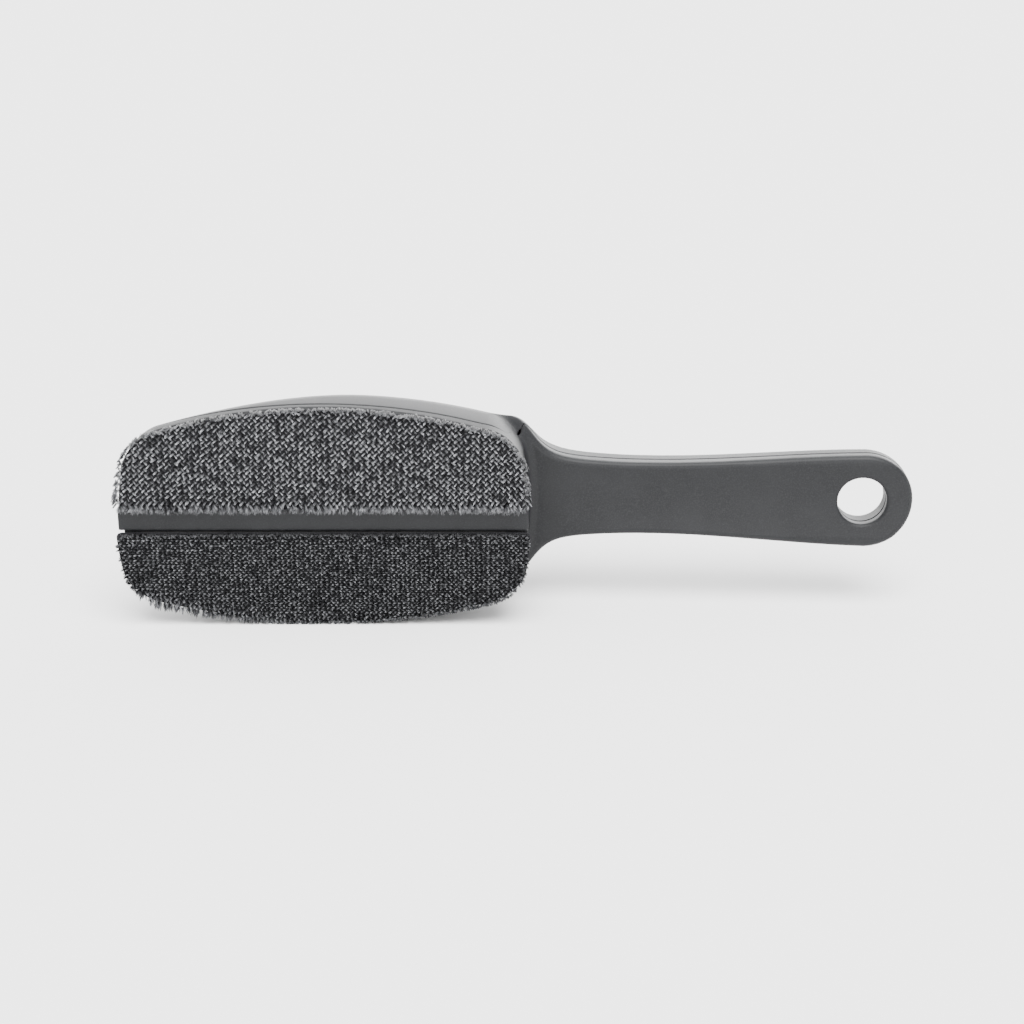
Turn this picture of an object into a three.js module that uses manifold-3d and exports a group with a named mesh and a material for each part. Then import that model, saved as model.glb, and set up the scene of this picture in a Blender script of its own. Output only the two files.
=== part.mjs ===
// Clothes brush with a domed head, two pile pads of opposite nap and a flat handle with a hanging hole.
//
// The brush stands on the lower long edge of its head. The parts are laid out in the brush's own measures
// and the whole group is then moved, so that the origin is the middle of the foot of its bounding box:
//   x runs along the brush, from the tip of the head (0) to the end of the handle
//   y runs through it, from the pads at the front (negative) to the domed back (positive);
//     0 is the level of the long front edges of the head
//   z runs across it, and 0 is the middle line
// All sizes are in millimetres.
import * as THREE from 'three';
import Module from 'manifold-3d';
import { ParametricGeometry } from 'three/addons/geometries/ParametricGeometry.js';
import { mergeVertices } from 'three/addons/utils/BufferGeometryUtils.js';

const wasm = await Module();
wasm.setup();

// ---------------------------------------------------------------- driving dimensions

// Head, seen from the front: two long arcs and two short ones, with rounded corners.
const HEAD_LENGTH = 128.4;
const HEAD_HALF_WIDTH = 36.5;
const LONG_EDGE_RADIUS = 200;
const SHORT_EDGE_RADIUS = 110;
const CORNER_RADIUS = 9;
const HEAD_MIDDLE = HEAD_LENGTH / 2;

// Head, seen from the side: the front is crowned across. The back deepens in a curve to a flat stretch, on
// which the brush lies, and the flat runs on to the neck. From the draft level forward the sides draw in
// towards the pads, and the draft fades out at the neck.
const CROWN_HEIGHT = 4.4;
const TIP_DEPTH = 8;
const BACK_FLAT_START = 78;
const BACK_FLAT_DEPTH = 22;
const BACK_FLAT_SLOPE = 0.105;
const BACK_ROUNDING = [0.9, 0.58];
const SIDE_DRAFT = 1.5;
const DRAFT_LEVEL = 16;
const DRAFT_FADE = [112, 126];
const RIM_RADIUS = 0.9;
const STEP_FILLET = 3.5;

// Band between the pads. It stands above the ground that the pads are glued to.
const BAND_HALF_WIDTH = 3.5;
const BAND_DRAFT = 0.3;
const PAD_GROUND = 1.0;

// Neck and handle.
const WAIST_HALF_WIDTH = 12.1;
const NECK_START = 105;
const NECK_FLARE = 25;
const NECK_MIDDLE = 126.9;
const NECK_SPREAD = 3.76;
const NECK_BLEND = 5;
const NECK_BACK = [120.4, 150];
const WAIST_START = 125;
const WAIST_END = 165;
const WAIST_GAIN = 1.6;
const TAPER_START = 168;
const TAPER_END = 242;
const TAPER_GAIN = 3.4;
const HOLE_X = 235.3;
const END_ARC_X = 236;
const ROUNDING_START = 115;
const ROUNDING_END = 138;
const HANDLE_START = 140;
const HANDLE_FRONT = [15.5, 11.5];
const HANDLE_BACK = [27.5, 22];
const HANDLE_FRONT_ROUNDING = 2;
const HANDLE_BACK_ROUNDING = 3;

// Hanging hole.
const HOLE_RADIUS = 7.8;
const HOLE_LIP = 1.2;
const HOLE_WALL = 2.4;

// The moulding is two shells that meet at a parting line.
const WALL = 2.2;
const SEAM_GAP = 0.3;
const SEAM_HEAD = 3;
const SEAM_HEAD_END = 100;
const SEAM_HANDLE = [20, 15.7];
const SEAM_TURN = [
  [119.5, 3],
  [121.3, 3.4],
  [122.7, 7],
  [124.4, 11.5],
  [126.2, 15.6],
  [128.2, 18.4],
  [132, 19.6],
];

// Pads, from the ground up: adhesive, woven backing, pile. Depths are from the face of the band.
const PIECE_GAP = 0.3;
const ADHESIVE_THICKNESS = 0.3;
const BACKING_THICKNESS = 0.7;
const PILE_FACE = -3.0;
const PILE_INSET = 0.9;
const PILE_OVERHANG = 0.7;
const PILE_CORNER = 8;
const PILE_BAND_CLEARANCE = 0.4;
const PILE_BAND_CORNER = 1.5;
const CLOTH_STEP = 0.7;

// Pegs of the front shell that snap into sockets of the back shell.
const PEG_PLACES = [[27, 14], [27, -14], [100, 18], [100, -18], [160, 0], [208, 0]];
const BOSS_RADIUS = 3.6;
const PEG_RADIUS = 1.8;
const PEG_REACH = 3;
const SOCKET_RADIUS = 2.15;

// The line that the surface rays start from runs inside the head and rises into the handle.
const SPINE_SHARE = 0.38;
const SPINE_RISE = [95, 126];

// Facets.
const OUTER_DETAIL = 2;
const INNER_DETAIL = 1;
const SECTION_STEPS = [3, 2, 2, 4];
const SPINE_START = 20;
const STATIONS = [
  { from: SPINE_START, to: 116, steps: 5 },
  { from: 116, to: 127.2, steps: 3 },
  { from: 127.2, to: 129, steps: 2 },
  { from: 129, to: 140, steps: 3 },
  { from: 140, to: HOLE_X, steps: 4 },
];
const TIP_STEPS = 4;
const END_STEPS = 3;
const SEAM_STEPS = 60;
const OUTLINE_FACETS = 56;
const CROWN_FACETS = 20;
const HOLE_FACETS = 40;
const HOLE_WALL_FACETS = 32;
const PEG_FACETS = 14;
const LIP_DEGREES = [0, 30, 60, 90];
const RAY_HALVINGS = 30;
const SLOPE_STEP = 0.5;
const MERGE_DISTANCE = 1e-4;

// Lengths that reach past the handle's faces, and past the whole brush.
const PAST = 30;
const FAR = 300;

// ---------------------------------------------------------------- small helpers

const clamp01 = (t) => Math.min(1, Math.max(0, t));
const mix = (a, b, t) => a + (b - a) * t;
const smooth = (from, to, value) => {
  const t = clamp01((value - from) / (to - from));
  return t * t * (3 - 2 * t);
};

// Signed fields are negative inside. These two meet at a right angle with a rounded edge or a fillet.
function roundAnd(a, b, radius) {
  return Math.min(-radius, Math.max(a, b)) + Math.hypot(Math.max(radius + a, 0), Math.max(radius + b, 0));
}

function roundOr(a, b, radius) {
  return Math.max(radius, Math.min(a, b)) - Math.hypot(Math.max(radius - a, 0), Math.max(radius - b, 0));
}

// ---------------------------------------------------------------- outer form

const alongHandle = ([start, end], x) => mix(start, end, (x - HANDLE_START) / (HOLE_X - HANDLE_START));

const longEdge = (x, z) => Math.hypot(x - HEAD_MIDDLE, Math.abs(z) + LONG_EDGE_RADIUS - HEAD_HALF_WIDTH)
  - LONG_EDGE_RADIUS;

const shortEdge = (x, z) => Math.hypot(Math.abs(x - HEAD_MIDDLE) + SHORT_EDGE_RADIUS - HEAD_MIDDLE, z)
  - SHORT_EDGE_RADIUS;

const headOutline = (x, z) => roundAnd(longEdge(x, z), shortEdge(x, z), CORNER_RADIUS);

const crown = (z) => -CROWN_HEIGHT * (1 - (z / HEAD_HALF_WIDTH) ** 2);

// Ground of the front face of the head. The pads are glued to it, and the band stands up from it.
const headFront = (z) => crown(z) + PAD_GROUND;

function headHalfWidth(x) {
  return HEAD_HALF_WIDTH - LONG_EDGE_RADIUS + Math.sqrt(LONG_EDGE_RADIUS ** 2 - (x - HEAD_MIDDLE) ** 2);
}

function handleHalfWidth(x) {
  const flare = NECK_FLARE / (1 + Math.exp((x - NECK_MIDDLE) / NECK_SPREAD));
  const waist = WAIST_GAIN * (1 - smooth(WAIST_START, WAIST_END, x));
  return WAIST_HALF_WIDTH + flare + waist + TAPER_GAIN * smooth(TAPER_START, TAPER_END, x);
}

// The narrower of head and neck, eased where they cross.
function wholeHalfWidth(x) {
  if (x < NECK_START) {
    return headHalfWidth(x);
  }
  const neck = handleHalfWidth(x);
  const head = x < HEAD_LENGTH + NECK_BLEND ? headHalfWidth(x) : FAR;
  const overlap = Math.max(NECK_BLEND - Math.abs(head - neck), 0) / NECK_BLEND;
  return Math.min(head, neck) - overlap ** 2 * NECK_BLEND / 4;
}

function wholeOutline(x, z) {
  if (x < HEAD_MIDDLE) {
    return headOutline(x, z);
  }
  if (x > END_ARC_X) {
    return Math.hypot(x - END_ARC_X, z) - wholeHalfWidth(END_ARC_X);
  }
  const slope = (wholeHalfWidth(x + SLOPE_STEP) - wholeHalfWidth(x - SLOPE_STEP)) / (2 * SLOPE_STEP);
  return (Math.abs(z) - wholeHalfWidth(x)) / Math.hypot(1, slope);
}

function headDepth(x) {
  if (x > BACK_FLAT_START) {
    return BACK_FLAT_DEPTH + BACK_FLAT_SLOPE * (x - BACK_FLAT_START);
  }
  const t = clamp01(x / BACK_FLAT_START);
  const meetSlope = (t ** 3 - t ** 2) * BACK_FLAT_START * BACK_FLAT_SLOPE;
  return mix(TIP_DEPTH, BACK_FLAT_DEPTH, smooth(0, 1, t)) + meetSlope;
}

const neckShare = (x) => smooth(NECK_BACK[0], NECK_BACK[1], x);

const backLevel = (x) => mix(headDepth(x), alongHandle(HANDLE_BACK, x), neckShare(x));

function backRounding(x) {
  const share = mix(BACK_ROUNDING[0], BACK_ROUNDING[1], smooth(0, BACK_FLAT_START, x));
  return mix(share * headDepth(x), HANDLE_BACK_ROUNDING, smooth(ROUNDING_START, ROUNDING_END, x));
}

// How far the sides of the head have drawn in at a level, growing with the square of the way forward.
function sideDraft(x, y) {
  const share = 1 - smooth(DRAFT_FADE[0], DRAFT_FADE[1], x);
  return share * SIDE_DRAFT * clamp01((DRAFT_LEVEL - y) / DRAFT_LEVEL) ** 2;
}

function outerForm(x, y, z) {
  const outline = wholeOutline(x, z) + sideDraft(x, y);
  const block = roundAnd(headOutline(x, z) + sideDraft(x, y), headFront(z) - y, RIM_RADIUS);
  const bar = roundAnd(outline, alongHandle(HANDLE_FRONT, x) - y, HANDLE_FRONT_ROUNDING);
  const back = roundAnd(outline, y - backLevel(x), backRounding(x));
  return Math.max(roundOr(block, bar, STEP_FILLET), back);
}

// The space inside the shells keeps a wall on every side.
function innerForm(x, y, z) {
  return outerForm(x, y, z) + WALL;
}

// ---------------------------------------------------------------- parting line

const seamLine = new THREE.CatmullRomCurve3([
  new THREE.Vector3(-PAST, SEAM_HEAD, 0),
  new THREE.Vector3(HEAD_MIDDLE, SEAM_HEAD, 0),
  new THREE.Vector3(SEAM_HEAD_END, SEAM_HEAD, 0),
  ...SEAM_TURN.map(([x, y]) => new THREE.Vector3(x, y, 0)),
  new THREE.Vector3(HANDLE_START, alongHandle(SEAM_HANDLE, HANDLE_START), 0),
  new THREE.Vector3(HOLE_X, alongHandle(SEAM_HANDLE, HOLE_X), 0),
  new THREE.Vector3(FAR, alongHandle(SEAM_HANDLE, FAR), 0),
], false, 'centripetal');
const seamPoints = seamLine.getPoints(SEAM_STEPS);

function seamLevel(x) {
  const next = seamPoints.findIndex((point) => point.x > x);
  const [a, b] = [seamPoints[next - 1], seamPoints[next]];
  return mix(a.y, b.y, (x - a.x) / (b.x - a.x));
}

// ---------------------------------------------------------------- solids

function toSolid(geometry) {
  const bare = geometry.clone();
  bare.deleteAttribute('normal');
  bare.deleteAttribute('uv');
  const merged = mergeVertices(bare, MERGE_DISTANCE);
  const index = merged.index.array;
  const triVerts = [];
  for (let i = 0; i < index.length; i += 3) {
    const [a, b, c] = [index[i], index[i + 1], index[i + 2]];
    if (a !== b && b !== c && c !== a) {
      triVerts.push(a, b, c);
    }
  }
  return new wasm.Manifold(new wasm.Mesh({
    numProp: 3,
    vertProperties: new Float32Array(merged.attributes.position.array),
    triVerts: new Uint32Array(triVerts),
  }));
}

function toMesh(solid, name, material) {
  const data = solid.getMesh();
  const geometry = new THREE.BufferGeometry();
  geometry.setAttribute('position', new THREE.BufferAttribute(data.vertProperties, data.numProp));
  geometry.setIndex(new THREE.BufferAttribute(data.triVerts, 1));
  geometry.computeVertexNormals();
  const mesh = new THREE.Mesh(geometry, material);
  mesh.name = name;
  return mesh;
}

// A line inside the head and the handle. Rays from it meet each form once.
function spineLevel(x) {
  const handle = (alongHandle(HANDLE_FRONT, x) + alongHandle(HANDLE_BACK, x)) / 2;
  return mix(SPINE_SHARE * headDepth(x), handle, smooth(SPINE_RISE[0], SPINE_RISE[1], x));
}

function castRay(form, from, direction) {
  let inside = 0;
  let outside = HEAD_LENGTH;
  for (let i = 0; i < RAY_HALVINGS; i += 1) {
    const reach = (inside + outside) / 2;
    const point = from.clone().addScaledVector(direction, reach);
    if (form(point.x, point.y, point.z) < 0) {
      inside = reach;
    } else {
      outside = reach;
    }
  }
  return inside;
}

// Half the width of the block that carries the pads, or a share of the handle's where there is no block.
function blockHalfWidth(x) {
  if (x > HEAD_LENGTH) {
    return wholeHalfWidth(x) / 2;
  }
  const from = new THREE.Vector3(x, 0, 0);
  return castRay((px, py, pz) => headOutline(px, pz), from, new THREE.Vector3(0, 0, 1));
}

// The corners of half a section, from the middle of the front round to the middle of the back.
function sectionCorners(x) {
  const width = wholeHalfWidth(x);
  const frontFace = alongHandle(HANDLE_FRONT, x);
  const block = blockHalfWidth(x) - sideDraft(x, headFront(blockHalfWidth(x)));
  const blockFace = x > HEAD_LENGTH ? frontFace : headFront(block);
  const shoulder = Math.min(frontFace, seamLevel(x));
  return [
    [blockFace, 0],
    [blockFace, block],
    [shoulder, width],
    [backLevel(x) - backRounding(x) / 2, width - backRounding(x) / 4],
    [backLevel(x), 0],
  ];
}

// The closed surface of a form: rings of rays along the spine, closed by a fan of rings at each end.
function formSolid(form, detail) {
  const rings = [];
  for (let i = 0; i < TIP_STEPS * detail; i += 1) {
    rings.push({ x: SPINE_START, tilt: -Math.PI / 2 * (1 - i / (TIP_STEPS * detail)) });
  }
  for (const { from, to, steps } of STATIONS) {
    for (let i = 0; i < steps * detail; i += 1) {
      rings.push({ x: mix(from, to, i / (steps * detail)), tilt: 0 });
    }
  }
  for (let i = 0; i <= END_STEPS * detail; i += 1) {
    rings.push({ x: HOLE_X, tilt: Math.PI / 2 * (i / (END_STEPS * detail)) });
  }
  const spokes = [];
  SECTION_STEPS.forEach((steps, corner) => {
    for (let i = 0; i < steps * detail; i += 1) {
      spokes.push({ corner, share: i / (steps * detail) });
    }
  });
  const half = spokes.length;
  const point = (u, v, target) => {
    const { x, tilt } = rings[Math.round(u * (rings.length - 1))];
    const turn = Math.round(v * 2 * half);
    const last = { corner: SECTION_STEPS.length - 1, share: 1 };
    const { corner, share } = spokes[Math.min(turn, 2 * half - turn)] ?? last;
    const corners = sectionCorners(x);
    const from = new THREE.Vector3(x, spineLevel(x), 0);
    const towards = corners[corner].map((value, i) => mix(value, corners[corner + 1][i], share));
    const across = new THREE.Vector3(0, towards[0] - from.y, turn > half ? -towards[1] : towards[1]);
    const direction = across.normalize().multiplyScalar(Math.cos(tilt));
    direction.x = Math.sin(tilt);
    target.copy(from).addScaledVector(direction, castRay(form, from, direction));
  };
  return toSolid(new ParametricGeometry(point, rings.length - 1, 2 * half));
}

// A shape drawn in x and y, as a bar along z.
function sideBar(shape) {
  const geometry = new THREE.ExtrudeGeometry(shape, { depth: 2 * FAR, bevelEnabled: false });
  return toSolid(geometry.translate(0, 0, -FAR));
}

// A shape drawn in x and z, as a bar along y.
function frontBar(shape) {
  const geometry = new THREE.ExtrudeGeometry(shape, { depth: 2 * FAR, bevelEnabled: false });
  return toSolid(geometry.rotateX(Math.PI / 2).translate(0, FAR, 0));
}

// A shape drawn in y and z, as a bar along x.
function lengthBar(shape) {
  const geometry = new THREE.ExtrudeGeometry(shape, { depth: 2 * FAR, bevelEnabled: false });
  const turn = new THREE.Matrix4().makeBasis(
    new THREE.Vector3(0, 1, 0),
    new THREE.Vector3(0, 0, 1),
    new THREE.Vector3(1, 0, 0),
  );
  return toSolid(geometry.applyMatrix4(turn).translate(-FAR, 0, 0));
}

// A profile of [radius, y] points turned about the y axis.
function turned(profile, x, z, facets) {
  const points = profile.map(([radius, y]) => new THREE.Vector2(radius, y));
  return toSolid(new THREE.LatheGeometry(points, facets).translate(x, 0, z));
}

// A point of the head's short edge: end is -1 at the tip and 1 at the neck, t runs across the band.
function endPoint(end, t) {
  const z = t * (BAND_HALF_WIDTH + BAND_DRAFT);
  const reach = HEAD_MIDDLE - SHORT_EDGE_RADIUS + Math.sqrt(SHORT_EDGE_RADIUS ** 2 - z ** 2);
  return new THREE.Vector2(HEAD_MIDDLE + end * reach, z);
}

// Everything on one side of the parting line: side is -1 for the front and 1 for the back.
function partingHalf(side) {
  const edge = seamPoints.map((point) => new THREE.Vector2(point.x, point.y + side * SEAM_GAP / 2));
  const first = edge[0];
  const last = edge[edge.length - 1];
  const outline = [
    ...edge,
    new THREE.Vector2(last.x, side * FAR),
    new THREE.Vector2(first.x, side * FAR),
  ];
  return sideBar(new THREE.Shape(outline));
}

// ---------------------------------------------------------------- shells

// The hole's cutter flares at both faces, so that the rims of the hole are rounded.
function holeCutter() {
  const front = alongHandle(HANDLE_FRONT, HOLE_X);
  const back = alongHandle(HANDLE_BACK, HOLE_X);
  const flare = (side, level) => LIP_DEGREES.map((degrees) => {
    const turn = THREE.MathUtils.degToRad(degrees);
    return [HOLE_RADIUS + HOLE_LIP * (1 - Math.cos(turn)), level + side * HOLE_LIP * (Math.sin(turn) - 1)];
  });
  const profile = [
    [0, front - PAST],
    [HOLE_RADIUS + HOLE_LIP, front - PAST],
    ...flare(-1, front).reverse(),
    ...flare(1, back),
    [HOLE_RADIUS + HOLE_LIP, back + PAST],
    [0, back + PAST],
  ];
  return turned(profile, HOLE_X, 0, HOLE_FACETS);
}

// The band between the pads, rooted in the wall of the front shell.
function band() {
  const root = PAD_GROUND + WALL / 2;
  const section = [
    new THREE.Vector2(crown(BAND_HALF_WIDTH) + root, -BAND_HALF_WIDTH - BAND_DRAFT),
    new THREE.Vector2(crown(BAND_HALF_WIDTH) + root, BAND_HALF_WIDTH + BAND_DRAFT),
    new THREE.Vector2(crown(BAND_HALF_WIDTH), BAND_HALF_WIDTH),
    new THREE.Vector2(crown(0), 0),
    new THREE.Vector2(crown(BAND_HALF_WIDTH), -BAND_HALF_WIDTH),
  ];
  const outline = [-1, 0, 1].map((t) => endPoint(-1, t)).concat([1, 0, -1].map((t) => endPoint(1, t)));
  return lengthBar(new THREE.Shape(section)).intersect(frontBar(new THREE.Shape(outline)));
}

function shells() {
  const outer = formSolid(outerForm, OUTER_DETAIL);
  const holeWall = turned(
    [[0, 0], [HOLE_RADIUS + HOLE_WALL, 0], [HOLE_RADIUS + HOLE_WALL, 2 * PAST], [0, 2 * PAST]],
    HOLE_X, 0, HOLE_WALL_FACETS,
  );
  const inner = formSolid(innerForm, INNER_DETAIL).subtract(holeWall);
  const hollow = outer.subtract(inner).subtract(holeCutter());
  let front = hollow.intersect(partingHalf(-1)).add(band());
  let back = hollow.intersect(partingHalf(1));
  for (const [x, z] of PEG_PLACES) {
    const seam = seamLevel(x);
    const frontLevel = x < HEAD_LENGTH ? headFront(z) : alongHandle(HANDLE_FRONT, x);
    const root = frontLevel + WALL / 2;
    const foot = backLevel(x) - WALL / 2;
    const bossTop = seam - SEAM_GAP / 2;
    const socketTop = seam + SEAM_GAP / 2;
    const pegTop = Math.min(seam + PEG_REACH, foot - WALL);
    const peg = [
      [0, root],
      [BOSS_RADIUS, root],
      [BOSS_RADIUS, bossTop],
      [PEG_RADIUS, bossTop],
      [PEG_RADIUS, pegTop],
      [0, pegTop],
    ];
    const socket = [
      [SOCKET_RADIUS, socketTop],
      [BOSS_RADIUS, socketTop],
      [BOSS_RADIUS, foot],
      [0, foot],
      [0, foot - WALL / 2],
      [SOCKET_RADIUS, foot - WALL / 2],
      [SOCKET_RADIUS, socketTop],
    ];
    front = front.add(turned(peg, x, z, PEG_FACETS));
    back = back.add(turned(socket, x, z, PEG_FACETS));
  }
  return { front, back };
}

// ---------------------------------------------------------------- pads

// A layer of one pad: its outline seen from the front, between two levels that follow the crown.
function padLayer(side, step, nearLevel, farLevel) {
  const overhang = step === 0 ? PILE_OVERHANG : -step;
  const bandEdge = BAND_HALF_WIDTH + BAND_DRAFT + PILE_BAND_CLEARANCE;
  const outline = (x, z) => {
    const edges = roundAnd(longEdge(x, z) + PILE_INSET + step, shortEdge(x, z) - overhang, PILE_CORNER);
    return roundAnd(edges, bandEdge - side * z, PILE_BAND_CORNER);
  };
  const middle = new THREE.Vector3(HEAD_MIDDLE, 0, side * (bandEdge + HEAD_HALF_WIDTH) / 2);
  const form = (x, y, z) => outline(x, z);
  const rim = [];
  for (let i = 0; i < OUTLINE_FACETS; i += 1) {
    const angle = 2 * Math.PI * i / OUTLINE_FACETS;
    const direction = new THREE.Vector3(HEAD_MIDDLE * Math.cos(angle), 0, 0);
    direction.z = HEAD_HALF_WIDTH / 2 * Math.sin(angle);
    direction.normalize();
    const reach = castRay(form, middle, direction);
    rim.push(new THREE.Vector2(middle.x + direction.x * reach, middle.z + direction.z * reach));
  }
  const across = [];
  for (let i = 0; i <= CROWN_FACETS; i += 1) {
    across.push(mix(-HEAD_HALF_WIDTH, HEAD_HALF_WIDTH, i / CROWN_FACETS));
  }
  const section = [
    ...across.map((z) => new THREE.Vector2(crown(z) + nearLevel, z)),
    ...across.reverse().map((z) => new THREE.Vector2(crown(z) + farLevel, z)),
  ];
  return frontBar(new THREE.Shape(rim)).intersect(lengthBar(new THREE.Shape(section)));
}

// ---------------------------------------------------------------- assembly

const plastic = new THREE.MeshStandardMaterial({ color: 0x4a4c50, roughness: 0.45, metalness: 0 });
const pileFibre = new THREE.MeshStandardMaterial({ color: 0x3c3e42, roughness: 0.55, metalness: 0 });
const wovenCloth = new THREE.MeshStandardMaterial({ color: 0x2a2b2e, roughness: 0.9, metalness: 0 });
const adhesive = new THREE.MeshStandardMaterial({ color: 0x2c2b2a, roughness: 0.5, metalness: 0 });

const brush = new THREE.Group();
const { front, back } = shells();
brush.add(toMesh(front, 'front_shell', plastic));
brush.add(toMesh(back, 'back_shell', plastic));

const adhesiveBottom = PAD_GROUND - PIECE_GAP;
const backingBottom = adhesiveBottom - ADHESIVE_THICKNESS - PIECE_GAP;
const pileBottom = backingBottom - BACKING_THICKNESS - PIECE_GAP;
for (const [where, side] of [['upper', 1], ['lower', -1]]) {
  const glue = padLayer(side, 2 * CLOTH_STEP, adhesiveBottom - ADHESIVE_THICKNESS, adhesiveBottom);
  const cloth = padLayer(side, CLOTH_STEP, backingBottom - BACKING_THICKNESS, backingBottom);
  const pile = padLayer(side, 0, PILE_FACE, pileBottom);
  brush.add(toMesh(glue, `${where}_adhesive`, adhesive));
  brush.add(toMesh(cloth, `${where}_backing`, wovenCloth));
  brush.add(toMesh(pile, `${where}_pile`, pileFibre));
}

const box = new THREE.Box3().setFromObject(brush);
brush.position.set(-(box.min.x + box.max.x) / 2, -(box.min.y + box.max.y) / 2, -box.min.z);

const group = new THREE.Group();
group.add(brush);
export default group;
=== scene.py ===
# Looks of the clothes brush: two satin plastic shells and two pads of short pile on a woven backing.
#
# Shapes are worked out in the brush's own measures, in millimetres: x from the tip of the head to the end
# of the handle, y from the pads (negative) through to the back, z across, with 0 on the middle line.
# OFFSET takes them to the part's frame.
import math

import bmesh
import bpy
import numpy as np
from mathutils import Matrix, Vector


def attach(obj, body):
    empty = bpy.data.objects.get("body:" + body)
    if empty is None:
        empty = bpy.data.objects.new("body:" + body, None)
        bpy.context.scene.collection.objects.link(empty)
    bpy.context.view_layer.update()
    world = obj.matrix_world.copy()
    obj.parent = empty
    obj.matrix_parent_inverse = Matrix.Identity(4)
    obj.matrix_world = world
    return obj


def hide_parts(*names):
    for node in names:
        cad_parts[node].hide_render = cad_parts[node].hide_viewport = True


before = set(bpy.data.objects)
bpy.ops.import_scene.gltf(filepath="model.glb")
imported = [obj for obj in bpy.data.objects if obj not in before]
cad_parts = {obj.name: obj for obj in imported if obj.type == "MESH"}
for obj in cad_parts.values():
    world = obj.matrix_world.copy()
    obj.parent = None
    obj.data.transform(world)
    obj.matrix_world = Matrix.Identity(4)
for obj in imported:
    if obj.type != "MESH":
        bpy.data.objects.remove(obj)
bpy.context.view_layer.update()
rng = np.random.default_rng(408)

OFFSET = np.array([-125.44109, -10.27925, 36.14959])
MM = 0.001

# ---------------------------------------------------------------- the brush's dimensions
# Head, seen from the front: two long arcs and two short ones, with rounded corners.
HEAD_LENGTH = 128.4
HEAD_HALF_WIDTH = 36.5
LONG_EDGE_RADIUS = 200
SHORT_EDGE_RADIUS = 110
CORNER_RADIUS = 9
HEAD_MIDDLE = HEAD_LENGTH / 2

# Head, seen from the side: a crowned front, sides with draft, and a back that deepens to a flat stretch.
CROWN_HEIGHT = 4.4
TIP_DEPTH = 8
BACK_FLAT_START = 78
BACK_FLAT_DEPTH = 22
BACK_FLAT_SLOPE = 0.105
BACK_ROUNDING = (0.9, 0.58)
SIDE_DRAFT = 1.5
DRAFT_LEVEL = 16
DRAFT_FADE = (112, 126)
RIM_RADIUS = 0.7
STEP_FILLET = 3.5

# Band between the pads. It stands above the ground that the pads are glued to.
BAND_HALF_WIDTH = 3.5
BAND_DRAFT = 0.3
BAND_EDGE_RADIUS = 0.3
BAND_SKIRT = 0.6
PAD_GROUND = 1.0

# Neck and handle. The dish is how far the handle's front is hollowed along its middle.
WAIST_HALF_WIDTH = 12.1
NECK_START = 105
NECK_FLARE = 25
NECK_MIDDLE = 126.9
NECK_SPREAD = 3.76
NECK_BLEND = 5
NECK_BACK = (120.4, 150)
WAIST_START = 125
WAIST_END = 165
WAIST_GAIN = 1.6
TAPER_START = 168
TAPER_END = 242
TAPER_GAIN = 3.4
HOLE_X = 235.3
END_ARC_X = 236
ROUNDING = (115, 138)
HANDLE_START = 140
HANDLE_FRONT = (15.5, 11.5)
HANDLE_BACK = (27.5, 22)
HANDLE_FRONT_ROUNDING = 2
HANDLE_BACK_ROUNDING = 3
HANDLE_DISH = 1.0
DISH_START = (136, 165)
HOLE_RADIUS = 7.8
HOLE_LIP = 1.2

# Parting line, and the groove along it. The groove's radius is smaller on the front shell (side -1).
SEAM_GAP = 0.3
SEAM_HEAD = 3
SEAM_START = -30
SEAM_HEAD_END = 100
SEAM_HANDLE = (20, 15.7)
SEAM_TURN = (
    (119.5, 3),
    (121.3, 3.4),
    (122.7, 7),
    (124.4, 11.5),
    (126.2, 15.6),
    (128.2, 18.4),
    (132, 19.6),
)
SEAM_DETAIL = 24
GROOVE_RADIUS = {-1: 0.3, 1: 0.6}
GROOVE_STEPS = (0.06, 0.14, 0.24)
CORNER_STRETCH = 5
CORNER_X = 122.3
CORNER_SPAN = 2.6
LIP_DEPTH = 2.0

# Pads: outlines, and levels from the crowned face of the band.
PILE_INSET = 0.9
PILE_OVERHANG = 0.7
LOWER_PAD_SPREAD = 0.7
PILE_CORNER = 8
PILE_BAND_CLEARANCE = 0.4
PILE_BAND_CORNER = 1.5
CLOTH_STEP = 0.7
BACKING_NEAR = -0.6
BACKING_FAR = 0.1
PILE_ROOT = -0.75
PILE_FACE = -3.0
FLOOR_LEVEL = -36.15
FLOOR_CLEARANCE = 0.15
FAR = 300

# Tufts: a lattice within the pad's outline, and a border of scattered ones along it.
LATTICE_START = -2
LATTICE_LENGTH = 132
FIRST_ROW = 0.45
EDGE_CLEARANCE = 0.25
BORDER_TUFTS = 14000
BORDER_RANGE = (0.05, 0.9)
FRINGE_CORNER = 3.6
TUFT_WANDER = 0.08
TUFT_SPREAD = (0.20, 0.14)
TUFT_TURN_SPREAD = 0.12
TUFT_RISE_SPREAD = 0.10

# Fibres: how far they stop short of the pile's face, how far in from an edge they lean outwards, and how
# far past it they may reach.
TUFT_TRIM = 0.22
FACE_CLEARANCE = 0.02
NAP_LEAN = (0.2, 0.55)
FRINGE_REACH = 2.6
EDGE_REACH = 4.0
BORDER_REACH = 1.2
OVERHANG_LIMIT = 0.6
LOOSE_OVERHANG = 2.6
FIBRE_BEND = (1.2, 2.0)
FIBRE_WIDTH = (0.20, 0.29)

# Tones: the mean and spread from tuft to tuft, the spread within a tuft, and painted shade along the pad's
# edges and on the fringe over the band.
TUFT_TONE = (0.50, 0.28)
TONE_SPREAD = 0.18
BORDER_PAINTED_SHADE = 0.8
FRINGE_PAINTED_SHADE = 0.3

# A fibre's cross-sections, as shares of its length, how it thins, and its painted light: painted shade at
# the root that gives way to a painted highlight towards its tip.
RINGS = (0.0, 0.45, 0.8)
TIP = 1.0
TAPER = 0.55
ROOT_PAINTED_SHADE = 0.05
PAINTED_LIGHT_POWER = 1.6

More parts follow.
